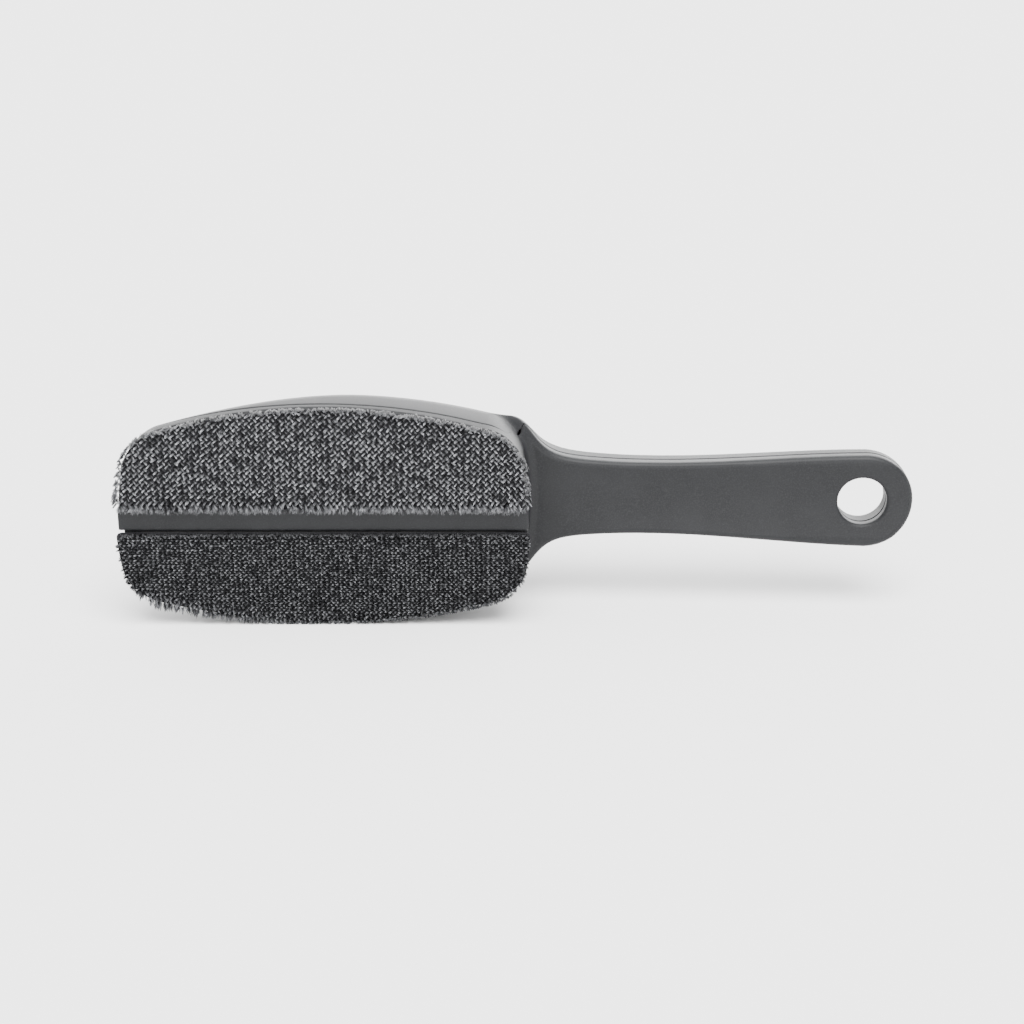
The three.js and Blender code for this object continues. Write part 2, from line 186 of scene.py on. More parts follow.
# Fineness of the shells' surface, and the limits of a step when points are moved onto it.
BODY_STEP = 0.62
LEAST_SLOPE = 0.05
LONGEST_MOVE = 0.3


# ---------------------------------------------------------------- outer form
def mix(a, b, t):
    return a + (b - a) * t


def smooth(start, end, value):
    t = np.clip((value - start) / (end - start), 0, 1)
    return t * t * (3 - 2 * t)


def round_and(a, b, radius):
    corner = np.hypot(np.maximum(radius + a, 0), np.maximum(radius + b, 0))
    return np.minimum(-radius, np.maximum(a, b)) + corner


def round_or(a, b, radius):
    corner = np.hypot(np.maximum(radius - a, 0), np.maximum(radius - b, 0))
    return np.maximum(radius, np.minimum(a, b)) - corner


def along_handle(ends, x):
    return mix(ends[0], ends[1], (x - HANDLE_START) / (HOLE_X - HANDLE_START))


def long_edge(x, z):
    return np.hypot(x - HEAD_MIDDLE, np.abs(z) + LONG_EDGE_RADIUS - HEAD_HALF_WIDTH) - LONG_EDGE_RADIUS


def short_edge(x, z):
    return np.hypot(np.abs(x - HEAD_MIDDLE) + SHORT_EDGE_RADIUS - HEAD_MIDDLE, z) - SHORT_EDGE_RADIUS


def head_outline(x, z):
    return round_and(long_edge(x, z), short_edge(x, z), CORNER_RADIUS)


def crown(z):
    return -CROWN_HEIGHT * (1 - (z / HEAD_HALF_WIDTH) ** 2)


def head_half_width(x):
    reach = np.clip(LONG_EDGE_RADIUS ** 2 - (x - HEAD_MIDDLE) ** 2, 0, None)
    return HEAD_HALF_WIDTH - LONG_EDGE_RADIUS + np.sqrt(reach)


def handle_half_width(x):
    flare = NECK_FLARE / (1 + np.exp(np.clip((x - NECK_MIDDLE) / NECK_SPREAD, -50, 50)))
    waist = WAIST_GAIN * (1 - smooth(WAIST_START, WAIST_END, x))
    return WAIST_HALF_WIDTH + flare + waist + TAPER_GAIN * smooth(TAPER_START, TAPER_END, x)


def whole_half_width(x):
    neck = handle_half_width(x)
    head = np.where(x < HEAD_LENGTH + NECK_BLEND, head_half_width(x), FAR)
    overlap = np.maximum(NECK_BLEND - np.abs(head - neck), 0) / NECK_BLEND
    both = np.minimum(head, neck) - overlap ** 2 * NECK_BLEND / 4
    return np.where(x < NECK_START, head_half_width(x), both)


def whole_outline(x, z):
    slope = whole_half_width(x + 0.5) - whole_half_width(x - 0.5)
    side = (np.abs(z) - whole_half_width(x)) / np.hypot(1, slope)
    end = np.hypot(x - END_ARC_X, z) - whole_half_width(np.array(END_ARC_X, float))
    return np.where(x < HEAD_MIDDLE, head_outline(x, z), np.where(x > END_ARC_X, end, side))


def head_depth(x):
    t = np.clip(x / BACK_FLAT_START, 0, 1)
    meet_slope = (t ** 3 - t ** 2) * BACK_FLAT_START * BACK_FLAT_SLOPE
    curve = mix(TIP_DEPTH, BACK_FLAT_DEPTH, smooth(0, 1, t)) + meet_slope
    flat = BACK_FLAT_DEPTH + BACK_FLAT_SLOPE * (x - BACK_FLAT_START)
    return np.where(x > BACK_FLAT_START, flat, curve)


def back_level(x):
    return mix(head_depth(x), along_handle(HANDLE_BACK, x), smooth(*NECK_BACK, x))


def back_rounding(x):
    share = mix(BACK_ROUNDING[0], BACK_ROUNDING[1], smooth(0, BACK_FLAT_START, x))
    return mix(share * head_depth(x), HANDLE_BACK_ROUNDING, smooth(*ROUNDING, x))


def body_form(p):
    """How far points are outside the brush's body: negative inside, 0 on its surface."""
    x, y, z = p[..., 0], p[..., 1], p[..., 2]
    level = np.clip((DRAFT_LEVEL - y) / DRAFT_LEVEL, 0, 1)
    draft = (1 - smooth(*DRAFT_FADE, x)) * SIDE_DRAFT * level ** 2
    outline = whole_outline(x, z) + draft
    block = round_and(head_outline(x, z) + draft, crown(z) + PAD_GROUND - y, RIM_RADIUS)
    dish = HANDLE_DISH * np.clip(1 - (z / WAIST_HALF_WIDTH) ** 2, 0, 1) * smooth(*DISH_START, x)
    bar = round_and(outline, along_handle(HANDLE_FRONT, x) + dish - y, HANDLE_FRONT_ROUNDING)
    back = round_and(outline, y - back_level(x), back_rounding(x))
    whole = np.maximum(round_or(block, bar, STEP_FILLET), back)
    return round_and(whole, HOLE_RADIUS - np.hypot(x - HOLE_X, z), HOLE_LIP)


def slope_of(form, points, reach=0.02):
    grads = np.zeros_like(points)
    for axis in range(3):
        step = np.zeros(3)
        step[axis] = reach
        grads[:, axis] = (form(points + step) - form(points - step)) / (2 * reach)
    return grads


def unit(v):
    return v / np.maximum(np.linalg.norm(v, axis=-1, keepdims=True), 1e-9)


def onto(form, points, rounds=4):
    """Points moved down the form's slope to its zero level, a small step at a time."""
    for _ in range(rounds):
        grads = slope_of(form, points)
        size = np.maximum((grads ** 2).sum(1, keepdims=True), LEAST_SLOPE)
        points = points - np.clip(form(points)[:, None] * grads / size, -LONGEST_MOVE, LONGEST_MOVE)
    return points


# ---------------------------------------------------------------- surface of a form
def surface(form, low, high, step):
    """Quads on the zero level of a form, one point in every cell that it crosses."""
    axes = [np.arange(a, b + step, step) for a, b in zip(low, high)]
    shape = [len(a) for a in axes]
    grid = np.empty(shape, np.float32)
    zz, yy = np.meshgrid(axes[2], axes[1])
    for i, x in enumerate(axes[0]):
        grid[i] = form(np.stack([np.full_like(yy, x), yy, zz], -1))
    cells = np.array(shape) - 1
    keys, places, quads = [], [], []
    for axis in range(3):
        a = np.take(grid, np.arange(shape[axis] - 1), axis)
        b = np.take(grid, np.arange(1, shape[axis]), axis)
        hit = np.argwhere((a < 0) != (b < 0))
        va, vb = a[tuple(hit.T)], b[tuple(hit.T)]
        place = hit.astype(float)
        place[:, axis] += va / (va - vb)
        u, w = (axis + 1) % 3, (axis + 2) % 3
        ring = []
        for du, dw in ((0, 0), (-1, 0), (-1, -1), (0, -1)):
            cell = hit.copy()
            cell[:, u] += du
            cell[:, w] += dw
            key = (cell[:, 0] * cells[1] + cell[:, 1]) * cells[2] + cell[:, 2]
            ring.append(key)
            keys.append(key)
            places.append(place)
        ring = np.stack(ring, 1)
        flip = va < 0
        ring[~flip] = ring[~flip][:, ::-1]
        quads.append(ring)
    keys = np.concatenate(keys)
    places = np.concatenate(places)
    names, index = np.unique(keys, return_inverse=True)
    count = np.bincount(index)
    points = np.stack([np.bincount(index, places[:, k]) / count for k in range(3)], 1)
    points = np.array(low) + points * step
    quads = np.searchsorted(names, np.concatenate(quads))
    return onto(form, points), quads


# ---------------------------------------------------------------- parting line
def seam_curve():
    """A centripetal Catmull-Rom curve through the corners of the parting line."""
    tail = along_handle(SEAM_HANDLE, FAR)
    knots = [(SEAM_START, SEAM_HEAD), (HEAD_MIDDLE, SEAM_HEAD), (SEAM_HEAD_END, SEAM_HEAD), *SEAM_TURN,
             (HANDLE_START, SEAM_HANDLE[0]), (HOLE_X, SEAM_HANDLE[1]), (FAR, tail)]
    before = (2 * SEAM_START - HEAD_MIDDLE, SEAM_HEAD)
    after = (2 * FAR - HOLE_X, 2 * tail - SEAM_HANDLE[1])
    knots = np.array([before, *knots, after], float)
    line = []
    for k in range(1, len(knots) - 2):
        p = knots[k - 1:k + 3]
        t = np.concatenate([[0], np.cumsum(np.linalg.norm(np.diff(p, axis=0), axis=1) ** 0.5)])
        for s in np.linspace(t[1], t[2], SEAM_DETAIL, endpoint=False):
            a = [(t[i + 1] - s) / (t[i + 1] - t[i]) * p[i] + (s - t[i]) / (t[i + 1] - t[i]) * p[i + 1]
                 for i in range(3)]
            b = [(t[i + 2] - s) / (t[i + 2] - t[i]) * a[i] + (s - t[i]) / (t[i + 2] - t[i]) * a[i + 1]
                 for i in range(2)]
            line.append((t[2] - s) / (t[2] - t[1]) * b[0] + (s - t[1]) / (t[2] - t[1]) * b[1])
    return np.array(line)


SEAM = seam_curve()


def seam_level(x):
    return np.interp(x, SEAM[:, 0], SEAM[:, 1])


# ---------------------------------------------------------------- meshes and materials
def make_object(name, points, faces, material, normals=None, tones=None):
    mesh = bpy.data.meshes.new(name)
    flat = [f.tolist() for f in faces] if isinstance(faces, list) else faces.tolist()
    mesh.from_pydata(((points + OFFSET) * MM).tolist(), [], flat)
    mesh.update()
    mesh.shade_smooth()
    if tones is not None:
        layer = mesh.attributes.new("tone", "FLOAT", "POINT")
        layer.data.foreach_set("value", np.asarray(tones, np.float32))
    if normals is not None:
        mesh.normals_split_custom_set_from_vertices(unit(normals).tolist())
    piece = bpy.data.objects.new(name, mesh)
    bpy.context.collection.objects.link(piece)
    mesh.materials.append(material)
    return piece


class Nodes:
    """A small helper that adds nodes to a material and links them."""

    def __init__(self, name):
        self.material = bpy.data.materials.new(name)
        self.material.use_nodes = True
        self.tree = self.material.node_tree
        self.shader = self.tree.nodes["Principled BSDF"]
        self.coords = self.add("ShaderNodeTexCoord").outputs["Object"]

    def add(self, kind, inputs=(), **settings):
        node = self.tree.nodes.new(kind)
        for key, value in settings.items():
            setattr(node, key, value)
        for key, value in dict(inputs).items():
            self.put(node.inputs[key], value)
        return node

    def put(self, socket, value):
        if isinstance(value, bpy.types.NodeSocket):
            self.tree.links.new(value, socket)
        else:
            socket.default_value = value

    def noise(self, scale, detail, rough):
        node = self.add("ShaderNodeTexNoise", {"Scale": scale, "Detail": detail, "Roughness": rough})
        self.put(node.inputs["Vector"], self.coords)
        return node.outputs["Fac"]

    def ramp(self, value, low, high, start=0.0, end=1.0):
        """A value between start and end, mapped to between low and high."""
        node = self.add("ShaderNodeMapRange", {"Value": value, "From Min": start, "From Max": end,
                                               "To Min": low, "To Max": high})
        return node.outputs["Result"]

    def math(self, operation, a, b):
        node = self.add("ShaderNodeMath", operation=operation)
        self.put(node.inputs[0], a)
        self.put(node.inputs[1], b)
        return node.outputs[0]

    def blend(self, share, a, b):
        """Colours a and b mixed. The mix node's sockets 6 and 7, and its output 2, are its colours."""
        node = self.add("ShaderNodeMix", data_type="RGBA")
        for key, value in ((0, share), (6, a), (7, b)):
            self.put(node.inputs[key], value)
        return node.outputs[2]

    def bump(self, height, strength, distance):
        node = self.add("ShaderNodeBump", {"Strength": strength, "Distance": distance, "Height": height})
        return node.outputs["Normal"]


def plastic():
    """Charcoal plastic with a fine moulded grain."""
    n = Nodes("shell_plastic")
    mottle = n.noise(60.0, 4.0, 0.6)
    fine = n.noise(2600.0, 2.0, 0.5)
    broad = n.noise(18.0, 2.0, 0.5)
    deep, mid, light = (0.0095, 0.0098, 0.0107, 1), (0.0125, 0.0129, 0.0140, 1), (0.017, 0.0175, 0.0188, 1)
    tone = n.blend(n.ramp(mottle, 0.0, 1.0, 0.35, 0.65), deep, mid)
    tone = n.blend(n.ramp(fine, 0.0, 1.0, 0.45, 0.7), tone, light)
    n.put(n.shader.inputs["Base Color"], tone)
    rough = n.math("ADD", n.ramp(broad, -0.03, 0.03, 0.3, 0.7), n.ramp(fine, 0.38, 0.50, 0.3, 0.7))
    n.put(n.shader.inputs["Roughness"], rough)
    n.shader.inputs["IOR"].default_value = 1.49
    n.shader.inputs["Specular IOR Level"].default_value = 0.16
    n.put(n.shader.inputs["Normal"], n.bump(fine, 0.25, 0.00006))
    return n.material


def pile_fibre():
    """Monofilament: each fibre runs from painted shade, near black at the root, to a painted highlight,
    grey at the tip.
    """
    n = Nodes("pile_fibre")
    tone = n.add("ShaderNodeAttribute", attribute_name="tone").outputs["Fac"]
    patch = n.noise(220.0, 3.0, 0.6)
    dark = n.blend(tone, (0.006, 0.006, 0.007, 1), (0.55, 0.558, 0.585, 1))
    worn = n.blend(n.ramp(patch, 0.0, 0.1, 0.45, 0.75), dark, (0.26, 0.265, 0.28, 1))
    n.put(n.shader.inputs["Base Color"], worn)
    n.put(n.shader.inputs["Roughness"], n.ramp(patch, 0.32, 0.45, 0.3, 0.7))
    n.shader.inputs["IOR"].default_value = 1.53
    n.shader.inputs["Specular IOR Level"].default_value = 0.3
    return n.material


def backing_cloth():
    """Black woven ground: two sets of waves at right angles stand for warp and weft."""
    n = Nodes("backing_cloth")
    turned = n.add("ShaderNodeMapping", {"Vector": n.coords, "Rotation": (0.0, math.radians(90), 0.0)})
    thread = {"Scale": 420.0, "Distortion": 0.6, "Detail": 1.0}
    warp = n.add("ShaderNodeTexWave", {"Vector": n.coords, **thread})
    weft = n.add("ShaderNodeTexWave", {"Vector": turned.outputs["Vector"], **thread})
    weave = n.math("MAXIMUM", warp.outputs["Fac"], weft.outputs["Fac"])
    n.put(n.shader.inputs["Base Color"], n.blend(weave, (0.007, 0.007, 0.008, 1), (0.018, 0.018, 0.020, 1)))
    n.shader.inputs["Specular IOR Level"].default_value = 0.1
    n.put(n.shader.inputs["Roughness"], n.ramp(weave, 0.95, 0.75))
    n.put(n.shader.inputs["Normal"], n.bump(weave, 0.6, 0.0002))
    return n.material


def adhesive_film():
    """Dark, slightly cloudy adhesive."""
    n = Nodes("adhesive_film")
    cloud = n.noise(150.0, 4.0, 0.6)
    n.put(n.shader.inputs["Base Color"], n.blend(cloud, (0.018, 0.018, 0.019, 1), (0.035, 0.034, 0.033, 1)))
    n.put(n.shader.inputs["Roughness"], n.ramp(cloud, 0.3, 0.6, 0.3, 0.7))
    n.put(n.shader.inputs["Normal"], n.bump(cloud, 0.3, 0.0001))
    return n.material


# ---------------------------------------------------------------- shells
def seam_widen(x):
    """Stretch of the warped height. It keeps the groove narrow where the seam crosses the inner corner."""
    return 1 + CORNER_STRETCH * np.exp(-((x - CORNER_X) / CORNER_SPAN) ** 2)


def cut_half(points, quads, side):
    """One side of the parting line. Points come back warped, with the parting face flat at y = 0."""
    warped = points.copy()
    warped[:, 1] = (points[:, 1] - seam_level(points[:, 0])) * seam_widen(points[:, 0])
    work = bmesh.new()
    mesh = bpy.data.meshes.new("work")
    mesh.from_pydata(warped.tolist(), [], quads.tolist())
    work.from_mesh(mesh)
    bpy.data.meshes.remove(mesh)
    for rise in (0, *GROOVE_STEPS, GROOVE_RADIUS[side]):
        everything = work.verts[:] + work.edges[:] + work.faces[:]
        level = side * (SEAM_GAP / 2 + rise)
        bmesh.ops.bisect_plane(work, geom=everything, plane_co=(0, level, 0), plane_no=(0, side, 0),
                               dist=1e-4, clear_inner=rise == 0)
    work.verts.index_update()
    cut = np.array([v.co[:] for v in work.verts])
    faces = [[v.index for v in f.verts] for f in work.faces]
    rims = [[v.index for v in (e.verts[0], e.verts[1])] for e in work.edges if e.is_boundary]
    owners = [next(iter(e.link_faces)) for e in work.edges if e.is_boundary]
    for rim, face in zip(rims, owners):
        order = [v.index for v in face.verts]
        if order[(order.index(rim[0]) + 1) % len(order)] != rim[1]:
            rim.reverse()
    work.free()
    return cut, faces, np.array(rims)


def unwarped(points):
    out = points.copy()
    out[:, 1] = points[:, 1] / seam_widen(points[:, 0]) + seam_level(points[:, 0])
    return out


def shell(name, side, points, quads, extra=None):
    """One shell: its half of the surface, the rounded groove at the parting line and the lip behind it."""
    cut, faces, rims = cut_half(points, quads, side)
    places = unwarped(cut)
    normals = unit(slope_of(body_form, places))
    near = np.clip(1 - (side * cut[:, 1] - SEAM_GAP / 2) / GROOVE_RADIUS[side], 0, 1)
    away = np.sqrt(1 - near ** 2)
    deep = GROOVE_RADIUS[side] * (1 - away) / seam_widen(cut[:, 0])
    places = places - normals * deep[:, None]
    normals = unit(normals * np.maximum(away, 0.05)[:, None] + np.array([0, -side, 0]) * near[:, None])
    rim_ids = np.unique(rims)
    inward = slope_of(body_form, unwarped(cut[rim_ids]))
    inward[:, 1] = 0
    inward = -unit(inward) * LIP_DEPTH
    lip = np.concatenate([places[rim_ids], places[rim_ids] + inward])
    lip[len(rim_ids):, 1] += seam_level(lip[len(rim_ids):, 0]) - seam_level(lip[:len(rim_ids), 0])
    first = np.searchsorted(rim_ids, rims)
    base = len(places)
    start, end = first[:, 0], first[:, 1]
    lip_faces = np.stack([end, start, start + len(rim_ids), end + len(rim_ids)], 1)
    all_points = [places, lip]
    all_normals = [normals, np.tile([0.0, -side, 0.0], (len(lip), 1))]
    all_faces = faces + (lip_faces + base).tolist()
    if extra:
        extra_points, extra_faces, extra_normals = extra
        all_points.append(extra_points)
        all_normals.append(extra_normals)
        all_faces += (extra_faces + base + len(lip)).tolist()
    mesh_points = np.concatenate(all_points)
    mesh = bpy.data.meshes.new(name)
    mesh.from_pydata(((mesh_points + OFFSET) * MM).tolist(), [], all_faces)
    mesh.update()
    mesh.shade_smooth()
    mesh.normals_split_custom_set_from_vertices(unit(np.concatenate(all_normals)).tolist())
    piece = bpy.data.objects.new(name, mesh)
    bpy.context.collection.objects.link(piece)
    mesh.materials.append(shell_material)
    return piece


def band_mesh():
    """The raised band: its rounded section swept along the head, with the ends rounded down to the rim.

    Its normals are turned so that its face looks to the front, along -y.
    """
    foot = BAND_HALF_WIDTH + BAND_DRAFT
    section = [(-foot, PAD_GROUND + BAND_SKIRT), (-foot, PAD_GROUND)]
    turns = np.radians(np.linspace(0, 90, 6))
    r = BAND_EDGE_RADIUS
    section += [(-BAND_HALF_WIDTH + r - r * math.cos(t), r - r * math.sin(t)) for t in turns]
    section += [(z, 0.0) for z in np.linspace(-BAND_HALF_WIDTH + 2 * r, BAND_HALF_WIDTH - 2 * r, 9)]
    section += [(BAND_HALF_WIDTH - r + r * math.sin(t), r - r * math.cos(t)) for t in turns]
    section += [(foot, PAD_GROUND), (foot, PAD_GROUND + BAND_SKIRT)]
    section = np.array(section)
    ends = 1 - np.cos(np.radians(np.linspace(0, 90, 9)))
    xs = np.concatenate([RIM_RADIUS * ends, np.linspace(3, HEAD_LENGTH - 3, 50),
                         HEAD_LENGTH - RIM_RADIUS * ends[::-1]])
    z = section[None, :, 0] * np.ones((len(xs), 1))
    reach = HEAD_MIDDLE - SHORT_EDGE_RADIUS + np.sqrt(SHORT_EDGE_RADIUS ** 2 - z ** 2)
    x = HEAD_MIDDLE + (xs[:, None] - HEAD_MIDDLE) / HEAD_MIDDLE * reach
    inset = np.minimum(xs, HEAD_LENGTH - xs)[:, None]
    arc = RIM_RADIUS - np.sqrt(np.maximum(RIM_RADIUS ** 2 - (RIM_RADIUS - inset) ** 2, 0))
    fall = np.where(inset < RIM_RADIUS, arc, 0)
    y = crown(z) + section[None, :, 1] + fall
    points = np.stack([x, y, z], -1)
    rows, columns = points.shape[:2]
    normals = np.cross(np.gradient(points, axis=0), np.gradient(points, axis=1))
    normals = unit(normals.reshape(-1, 3))
    points = points.reshape(-1, 3)
    middle_of_face = columns * 20 + columns // 2
    if normals[middle_of_face, 1] > 0:
        normals = -normals
    a = (np.arange(rows - 1)[:, None] * columns + np.arange(columns - 1)[None, :]).ravel()
    faces = np.stack([a, a + columns, a + columns + 1, a + 1], 1)
    return points, faces, normals


shell_material = plastic()
lowest = (-2.0, -6.0, -38.5)
highest = (254.0, 30.0, 38.5)
body_points, body_quads = surface(body_form, lowest, highest, BODY_STEP)
front_shell = shell("front_shell_body", -1, body_points, body_quads, band_mesh())
back_shell = shell("back_shell_body", 1, body_points, body_quads)
for piece, node in ((front_shell, "front_shell"), (back_shell, "back_shell")):
    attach(piece, "root")
    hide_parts(node)


# ---------------------------------------------------------------- pads
BAND_EDGE = BAND_HALF_WIDTH + BAND_DRAFT + PILE_BAND_CLEARANCE


def pad_step(side):
    """The loose lower pad spreads a little past its solid's outline."""
    return -LOWER_PAD_SPREAD if side < 0 else 0


def pad_outline(side, step, x, z):
    """How far points are outside a pad's outline, which is drawn in by step all round."""
    overhang = PILE_OVERHANG if step == 0 else -step
    edges = round_and(long_edge(x, z) + PILE_INSET + step, short_edge(x, z) - overhang, PILE_CORNER)
    return round_and(edges, BAND_EDGE - side * z, PILE_BAND_CORNER)


def rim_points(side, step, count):
    """Points round a pad's outline, found by halving along rays from its middle."""
    angle = np.linspace(0, 2 * np.pi, count, endpoint=False)
    middle = np.array([HEAD_MIDDLE, side * (BAND_EDGE + HEAD_HALF_WIDTH) / 2])
    way = unit(np.stack([HEAD_MIDDLE * np.cos(angle), HEAD_HALF_WIDTH / 2 * np.sin(angle)], 1))
    inside, outside = np.zeros(count), np.full(count, 90.0)
    for _ in range(30):
        reach = (inside + outside) / 2
        p = middle + way * reach[:, None]
        within = pad_outline(side, step, p[:, 0], p[:, 1]) < 0
        inside = np.where(within, reach, inside)
        outside = np.where(within, outside, reach)
    return middle, middle + way * inside[:, None]


def cloth_slab(side):
    """The woven backing: two crowned faces and the edge between them, with finer rings near the rim."""
    count, rings = 360, 26
    middle, rim = rim_points(side, CLOTH_STEP + pad_step(side), count)
    shares = (np.arange(1, rings + 1) / rings) ** 0.8
    spread = middle + (rim - middle)[None] * shares[:, None, None]
    flat = np.concatenate([[middle], spread.reshape(-1, 2)])
    layer = len(flat)
    sides = [np.stack([flat[:, 0], crown(flat[:, 1]) + level, flat[:, 1]], 1)
             for level in (BACKING_NEAR, BACKING_FAR)]
    points = np.concatenate(sides)
    faces = []
    ahead = (np.arange(count) + 1) % count
    for start, turn in ((0, 1), (layer, -1)):
        for k in range(count):
            tri = [start, start + 1 + k, start + 1 + ahead[k]]
            faces.append(tri[::turn])
        for r in range(rings - 1):
            a = start + 1 + r * count
            b = a + count
            for k in range(count):
                faces.append([a + k, b + k, b + ahead[k], a + ahead[k]][::turn])
    a = 1 + (rings - 1) * count
    b = layer + a
    for k in range(count):
        faces.append([a + k, b + k, b + ahead[k], a + ahead[k]])
    rim_next = np.roll(rim, -1, 0)
    area = abs((rim[:, 0] * rim_next[:, 1] - rim_next[:, 0] * rim[:, 1]).sum()) / 2
    return points, faces, area, rim


def fibres(root, rise, lean, bend, width, tone):
    """Curved three-sided fibres that taper to a point: rise runs along -y, lean in x and z."""
    count = len(root)
    turn = rng.uniform(0, 2 * np.pi, count)
    points, tones, spread = [], [], []
    for t in (*RINGS, TIP):
        away = t ** bend[:, None] * lean
        centre = root + np.stack([away[:, 0], -rise * t, away[:, 1]], 1)
        if t == TIP:
            points.append(centre[:, None])
            tones.append(tone[:, None])
            spread.append(np.tile([0.0, -1.0, 0.0], (count, 1))[:, None])
            break
        radius = width * (1 - TAPER * t) / 2
        for k in range(3):
            a = turn + 2 * np.pi * k / 3
            out = np.stack([np.cos(a), np.zeros(count), np.sin(a)], 1)
            points.append((centre + out * radius[:, None])[:, None])
            # Painted light along the fibre: painted shade at the root, rising to a painted highlight at the
            # tip.
            tones.append((tone * mix(ROOT_PAINTED_SHADE, 1, t ** PAINTED_LIGHT_POWER))[:, None])
            spread.append(out[:, None])
    points = np.concatenate(points, 1)
    tones = np.concatenate(tones, 1)
    normals = np.concatenate(spread, 1)
    each = points.shape[1]
    sides = []
    for r in range(len(RINGS) - 1):
        for k in range(3):
            a, b = r * 3 + k, r * 3 + (k + 1) % 3
            sides += [(a, b + 3, a + 3), (a, b, b + 3)]
    last = (len(RINGS) - 1) * 3
    for k in range(3):
        sides.append((last + k, last + (k + 1) % 3, each - 1))
    faces = (np.arange(count)[:, None, None] * each + np.array(sides)[None]).reshape(-1, 3)
    return points.reshape(-1, 3), faces, tones.ravel(), normals.reshape(-1, 3)


def tuft_places(side, pitch_x, pitch_z):
    """Where the tufts of a pad stand, as x, z and whether the row is an odd one."""
    spots = []
    rows = int((HEAD_HALF_WIDTH - BAND_EDGE) / pitch_z) + 1
    for j in range(rows):
        z = side * (BAND_EDGE + FIRST_ROW + j * pitch_z)
        for i in range(int(LATTICE_LENGTH / pitch_x)):
            spots.append((LATTICE_START + i * pitch_x, z, j % 2))
    spots = np.array(spots)
    step = pad_step(side)
    spots = spots[pad_outline(side, step, spots[:, 0], spots[:, 1]) < -EDGE_CLEARANCE]
    border_x = rng.uniform(-PILE_OVERHANG, HEAD_LENGTH + PILE_OVERHANG, BORDER_TUFTS)
    border_z = side * rng.uniform(BAND_EDGE, HEAD_HALF_WIDTH, BORDER_TUFTS)
    border_row = rng.integers(0, 2, BORDER_TUFTS)
    depth = -pad_outline(side, step, border_x, border_z)
    chosen = (depth > BORDER_RANGE[0]) & (depth < BORDER_RANGE[1])
    spots = np.concatenate([spots, np.stack([border_x, border_z, border_row], 1)[chosen]])
    past_end = short_edge(spots[:, 0], spots[:, 1]) - PILE_OVERHANG
    corner = round_and(past_end, BAND_EDGE - side * spots[:, 1], FRINGE_CORNER)
    return spots[corner < 0]


def pile(side, pitch_x, pitch_z, per_tuft, painted_light_level, droop, flop):
    """The fibres of a pad. Rows of tufts lean half a pitch to one side and the other in turn.

    The nap leans to the band. Droop is how much the tufts along the band hang over it, and flop is how
    much the long edge of the pad splays outwards, most of all towards the tip of the head.
    """
    spots = tuft_places(side, pitch_x, pitch_z)
    tufts = len(spots)
    wander = rng.normal(0, TUFT_WANDER, (tufts, 2))
    tuft_turn = np.where(spots[:, 2] > 0, 0.5, -0.5) * pitch_x + rng.normal(0, TUFT_TURN_SPREAD, tufts)
    tuft_tone = np.clip(rng.normal(*TUFT_TONE, tufts), 0.05, 1)
    tuft_rise = rng.normal(0, TUFT_RISE_SPREAD, tufts)
    owner = np.repeat(np.arange(tufts), per_tuft)
    count = len(owner)
    splay = rng.normal(0, 1, (count, 2))
    where = spots[owner, :2] + wander[owner] + splay * np.array(TUFT_SPREAD)
    where[:, 1] = np.maximum(where[:, 1], FLOOR_LEVEL + FLOOR_CLEARANCE)
    root = np.stack([where[:, 0], crown(where[:, 1]) + PILE_ROOT, where[:, 1]], 1)
    length = PILE_ROOT - PILE_FACE
    rise = (length - TUFT_TRIM) * rng.uniform(0.80, 1.0, count) + tuft_rise[owner]
    rise = np.minimum(rise, length - FACE_CLEARANCE)

    from_band = side * root[:, 2] - BAND_EDGE
    fringe = np.clip(1.15 - from_band / FRINGE_REACH, 0, 1) * droop
    lean_x = tuft_turn[owner] - splay[:, 0] * 0.08 + fringe * rng.normal(0, 0.3, count)
    tuft_nap = rng.uniform(*NAP_LEAN, tufts) * (1 - 0.7 * flop)
    nap = tuft_nap[owner] + rng.uniform(0, 0.25, count) + fringe * rng.uniform(0.5, 1.6, count)
    lean_z = -side * nap - splay[:, 1] * 0.02
    from_middle = root[:, 0] - HEAD_MIDDLE
    to_end = np.clip(1 - (HEAD_MIDDLE + PILE_OVERHANG - np.abs(from_middle)) / EDGE_REACH, 0, 1)
    lean_x += np.sign(from_middle) * to_end * rng.uniform(0.0, 0.8, count)
    to_edge = np.clip(1 + (long_edge(root[:, 0], root[:, 2]) + PILE_INSET) / EDGE_REACH, 0, 1)
    loose = flop * np.clip(1.4 - root[:, 0] / 50, 0, 1)
    lean_z += side * to_edge * (0.35 + 2.0 * loose) * rng.uniform(0.3, 1.0, count)
    outline = pad_outline(side, pad_step(side), root[:, 0], root[:, 2])
    border = np.clip(1 + outline / BORDER_REACH, 0, 1)
    lean_x *= 1 - 0.6 * border
    lean = np.stack([lean_x, lean_z], 1)
    tip = root[:, [0, 2]] + lean
    beyond = long_edge(tip[:, 0], tip[:, 1]) + PILE_INSET - OVERHANG_LIMIT - LOOSE_OVERHANG * loose
    lean[:, 1] -= np.sign(root[:, 2]) * np.maximum(beyond, 0)
    lean[:, 1] = np.maximum(lean[:, 1], FLOOR_LEVEL - root[:, 2])

    bend = rng.uniform(*FIBRE_BEND, count)
    width = rng.uniform(*FIBRE_WIDTH, count)
    # The tone is the tuft's and fibre's random tone times the pad's light level, which is painted light.
    tone = np.clip(tuft_tone[owner] + rng.normal(0, TONE_SPREAD, count), 0.03, 1) * painted_light_level
    # Painted shade darkens the fibres along the pad's edges and on the fringe that hangs over the band.
    tone *= (1 - BORDER_PAINTED_SHADE * border) * (1 - FRINGE_PAINTED_SHADE * fringe)
    return fibres(root, rise, lean, bend, width, tone)


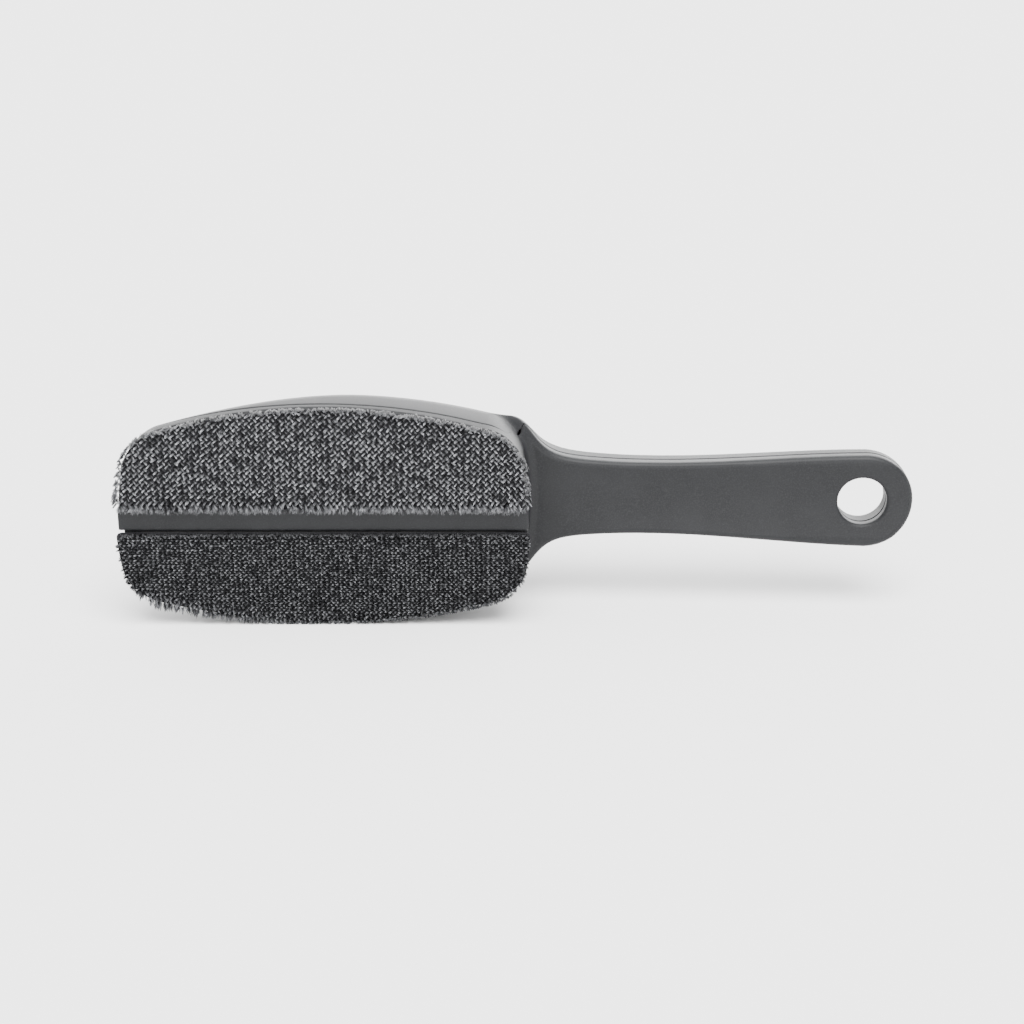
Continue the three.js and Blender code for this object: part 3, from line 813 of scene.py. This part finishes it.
def in_pieces(name, data, parts, node):
    """The pile in slices along the head, so that no piece is too heavy."""
    points, faces, tones, normals = data
    each = 3 * len(RINGS) + 1
    per_fibre = len(faces) // (len(points) // each)
    roots = points.reshape(-1, each, 3)[:, 0, 0]
    order = np.argsort(roots, kind="stable")
    pieces = []
    for k, chosen in enumerate(np.array_split(order, parts)):
        take = (chosen[:, None] * each + np.arange(each)[None]).ravel()
        base = faces.reshape(-1, per_fibre, 3)[0]
        own = (np.arange(len(chosen))[:, None, None] * each + base[None]).reshape(-1, 3)
        piece = make_object(f"{name}_pile_{k + 1}", points[take], own, pile_material, normals[take],
                            tones[take])
        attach(piece, "root")
        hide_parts(node)
        pieces.append(piece)
    return pieces


pile_material = pile_fibre()
cloth_material = backing_cloth()
film_material = adhesive_film()
SLICES = 3
# Each pad's light level is painted light: the upper pad is painted lighter for the glints off its nap, the
# lower pad darker for the shade on its nap.
PADS = (
    ("upper", 1, dict(pitch_x=1.9, pitch_z=0.95, per_tuft=9, painted_light_level=1.1, droop=1.0, flop=0.0)),
    ("lower", -1, dict(pitch_x=1.5, pitch_z=0.85, per_tuft=8, painted_light_level=0.66, droop=0.0, flop=1.0)),
)
for name, side, nap in PADS:
    piles = in_pieces(name, pile(side, **nap), SLICES, f"{name}_pile")
    points, faces, area, rim = cloth_slab(side)
    cloth = make_object(f"{name}_backing_cloth", points, [np.array(f) for f in faces], cloth_material)
    cloth.data.set_sharp_from_angle(angle=math.radians(45))
    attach(cloth, "root")
    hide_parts(f"{name}_backing")
    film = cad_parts[f"{name}_adhesive"]
    film.data.materials.clear()
    film.data.materials.append(film_material)


# ---------------------------------------------------------------- floor, light and camera
def floor():
    """Plain pale ground with a faint cloudiness."""
    n = Nodes("floor")
    cloud = n.noise(3.0, 2.0, 0.5)
    n.put(n.shader.inputs["Base Color"], n.blend(cloud, (0.945, 0.945, 0.945, 1), (0.955, 0.955, 0.955, 1)))
    n.shader.inputs["Roughness"].default_value = 1.0
    n.shader.inputs["Specular IOR Level"].default_value = 0.0
    mesh = bpy.data.meshes.new("floor")
    half = 6.0
    steps = np.linspace(-half, half, 13)
    grid = [(x, y, 0.0) for y in steps for x in steps]
    count = len(steps)
    quads = [(j * count + i, j * count + i + 1, (j + 1) * count + i + 1, (j + 1) * count + i)
             for j in range(count - 1) for i in range(count - 1)]
    mesh.from_pydata(grid, [], quads)
    mesh.materials.append(n.material)
    piece = bpy.data.objects.new("floor", mesh)
    bpy.context.collection.objects.link(piece)
    return piece


def lamp(name, place, target, size, power):
    data = bpy.data.lights.new(name, "AREA")
    data.shape = "DISK"
    data.size = size
    data.energy = power
    piece = bpy.data.objects.new(name, data)
    bpy.context.collection.objects.link(piece)
    piece.location = place
    way = np.array(target) - np.array(place)
    piece.rotation_euler = Vector(way.tolist()).to_track_quat("-Z", "Y").to_euler()
    return piece


floor()
sun = bpy.data.lights.new("soft_sky", "SUN")
sun.energy = 8.0
sun.angle = math.radians(45)
sky = bpy.data.objects.new("soft_sky", sun)
bpy.context.collection.objects.link(sky)
sky.rotation_euler = (math.radians(27), math.radians(6), 0.0)
back_light = lamp("back_light", place=(0.1, 1.5, 0.95), target=(0.0, 0.0, 0.03), size=3.2, power=190.0)
back_light.visible_diffuse = False
low_light = lamp("low_light", place=(0.1, -0.9, 0.12), target=(0.05, 0.0, 0.04), size=0.5, power=5.0)
low_light.visible_diffuse = False
world = bpy.data.worlds.new("world")
world.use_nodes = True
world.node_tree.nodes["Background"].inputs["Color"].default_value = (1.0, 1.0, 1.0, 1.0)
world.node_tree.nodes["Background"].inputs["Strength"].default_value = 1.8
bpy.context.scene.world = world

ELEVATION = math.radians(20)
DISTANCE = 0.670
TARGET = (np.array([123.2, 10.0, -2.6]) + OFFSET) * MM
IMAGE_WIDTH = 1024
FOCAL_LENGTH = 2100
SENSOR_WIDTH = 36.0
camera_data = bpy.data.cameras.new("camera")
camera_data.sensor_width = SENSOR_WIDTH
camera_data.lens = FOCAL_LENGTH / IMAGE_WIDTH * SENSOR_WIDTH
camera_data.clip_start = 0.01
camera = bpy.data.objects.new("camera", camera_data)
bpy.context.collection.objects.link(camera)
back_off = DISTANCE * np.array([0.0, -math.cos(ELEVATION), math.sin(ELEVATION)])
camera.location = Vector((TARGET + back_off).tolist())
camera.rotation_euler = (math.radians(90) - ELEVATION, 0.0, 0.0)
bpy.context.scene.camera = camera
